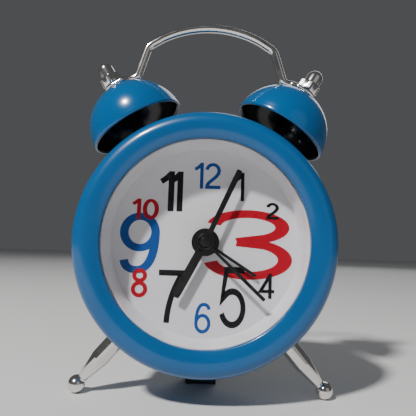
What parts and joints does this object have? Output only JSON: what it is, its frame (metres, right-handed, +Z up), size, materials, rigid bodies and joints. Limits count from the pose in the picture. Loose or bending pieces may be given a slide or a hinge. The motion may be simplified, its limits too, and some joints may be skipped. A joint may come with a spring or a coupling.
{
  "type": "alarm clock",
  "caption": "Small twin-bell quartz alarm clock: round drum case with a wide front ring, domed bells under a wire handle, two splayed legs and a rear foot.",
  "frame": {"origin": "on the floor, at the middle of the clock's width and depth", "axes": "+Z up, +Y away from someone who faces the dial, +X to their right"},
  "size_m": [0.0616, 0.03, 0.0916],
  "materials": {
    "ring_blue": "gloss enamel on spun aluminium",
    "bell_blue": "gloss enamel",
    "drum_blue": "gloss enamel",
    "lens_clear": "clear polished acrylic",
    "reflector_white": "white gloss moulding",
    "dial_white": "printed matt card",
    "hand_black": "black lacquer",
    "nickel": "bright nickel plate",
    "steel": "zinc plated",
    "pillar_black": "black lacquer",
    "cover_black": "fine matt moulding",
    "knob_black": "satin moulding",
    "movement_white": "natural moulding",
    "wheel_plastic": "natural acetal",
    "magnet_grey": "sintered",
    "copper": "enamelled copper wire",
    "board_green": "solder resist",
    "resin_black": "potting resin",
    "crystal_steel": "drawn can",
    "buzzer_brass": "rolled brass",
    "cell_steel": "bright steel"
  },
  "bodies": {
    "case": {"bezel_ring": "ring_blue", "lens": "lens_clear", "reflector_ring": "reflector_white", "dial_plate": "dial_white", "case_drum": "drum_blue", "rear_cover": "cover_black", "rear_cover_screws": "steel", "left_bell": "bell_blue", "right_bell": "bell_blue", "left_bell_pillar": "pillar_black", "right_bell_pillar": "pillar_black", "left_leg": "nickel", "right_leg": "nickel", "bell_studs": "steel", "acorn_nuts": "nickel", "case_nuts": "steel", "carry_handle": "nickel", "movement_front_plate": "movement_white", "movement_rear_plate": "movement_white", "movement_screws": "steel", "stator": "steel", "coil_bobbin": "movement_white", "coil_winding": "copper", "circuit_board": "board_green", "clock_chip": "resin_black", "quartz_crystal": "crystal_steel", "piezo_buzzer": "buzzer_brass", "button_cell": "cell_steel", "battery_contact_minus": "steel", "battery_contact_plus": "steel", "switch_spring": "steel"},
    "seconds": {"second_hand": "hand_black", "seconds_wheel": "wheel_plastic"},
    "intermediate": {"intermediate_wheel": "wheel_plastic"},
    "rotor": {"rotor": "wheel_plastic", "rotor_magnet": "magnet_grey"},
    "third": {"third_wheel": "wheel_plastic"},
    "centre": {"centre_wheel": "wheel_plastic"},
    "minutes": {"minute_hand": "hand_black", "minute_pipe": "wheel_plastic"},
    "motion": {"motion_wheel": "wheel_plastic"},
    "hours": {"hour_hand": "hand_black", "hour_wheel": "wheel_plastic"},
    "time_setting": {"time_set_shaft": "wheel_plastic", "time_knob": "knob_black"},
    "alarm": {"alarm_hand": "hand_black", "alarm_wheel": "wheel_plastic"},
    "alarm_setting": {"alarm_set_shaft": "wheel_plastic", "alarm_knob": "knob_black"},
    "door": {"battery_door": "cover_black"},
    "switch": {"alarm_switch_slider": "knob_black"}
  },
  "joints": [
    {"name": "second_hand_spin", "type": "hinge", "parent": "case", "child": "seconds", "pos_m": [0, -0.006, 0.03553], "axis": [0, 1, 0], "continuous": true},
    {"name": "intermediate_spin", "type": "hinge", "parent": "case", "child": "intermediate", "pos_m": [-0.00676, -0.006, 0.03734], "axis": [0, 1, 0], "continuous": true},
    {"name": "rotor_spin", "type": "hinge", "parent": "case", "child": "rotor", "pos_m": [-0.01385, -0.006, 0.03609], "axis": [0, 1, 0], "continuous": true},
    {"name": "third_spin", "type": "hinge", "parent": "case", "child": "third", "pos_m": [0.00589, -0.006, 0.03893], "axis": [0, 1, 0], "continuous": true},
    {"name": "centre_spin", "type": "hinge", "parent": "case", "child": "centre", "pos_m": [0, -0.006, 0.03553], "axis": [0, 1, 0], "continuous": true},
    {"name": "minute_hand_spin", "type": "hinge", "parent": "case", "child": "minutes", "pos_m": [0, -0.006, 0.03553], "axis": [0, 1, 0], "continuous": true},
    {"name": "motion_spin", "type": "hinge", "parent": "case", "child": "motion", "pos_m": [0.0036, -0.006, 0.02929], "axis": [0, 1, 0], "continuous": true},
    {"name": "hour_hand_spin", "type": "hinge", "parent": "case", "child": "hours", "pos_m": [0, -0.006, 0.03553], "axis": [0, 1, 0], "continuous": true},
    {"name": "time_knob_spin", "type": "hinge", "parent": "case", "child": "time_setting", "pos_m": [0.01128, -0.006, 0.02794], "axis": [0, 1, 0], "continuous": true},
    {"name": "alarm_hand_spin", "type": "hinge", "parent": "case", "child": "alarm", "pos_m": [0, -0.006, 0.03553], "axis": [0, 1, 0], "continuous": true},
    {"name": "alarm_knob_spin", "type": "hinge", "parent": "case", "child": "alarm_setting", "pos_m": [-0.00772, -0.006, 0.02905], "axis": [0, 1, 0], "continuous": true},
    {"name": "door_twist", "type": "hinge", "parent": "case", "child": "door", "pos_m": [0, -0.006, 0.02003], "axis": [0, 1, 0], "range_deg": [0, 45]},
    {"name": "alarm_switch_slide", "type": "slide", "parent": "case", "child": "switch", "axis": [1, 0, 0], "range_m": [0, 0.003]}
  ],
  "couplings": [
    {"joint": "intermediate_spin", "follows": "second_hand_spin", "ratio": -6},
    {"joint": "rotor_spin", "follows": "second_hand_spin", "ratio": 30},
    {"joint": "third_spin", "follows": "second_hand_spin", "ratio": -0.13333},
    {"joint": "centre_spin", "follows": "second_hand_spin", "ratio": 0.016667},
    {"joint": "motion_spin", "follows": "minute_hand_spin", "ratio": -0.33333},
    {"joint": "hour_hand_spin", "follows": "minute_hand_spin", "ratio": 0.083333},
    {"joint": "time_knob_spin", "follows": "minute_hand_spin", "ratio": 0.75},
    {"joint": "alarm_knob_spin", "follows": "alarm_hand_spin", "ratio": -1.3333}
  ]
}
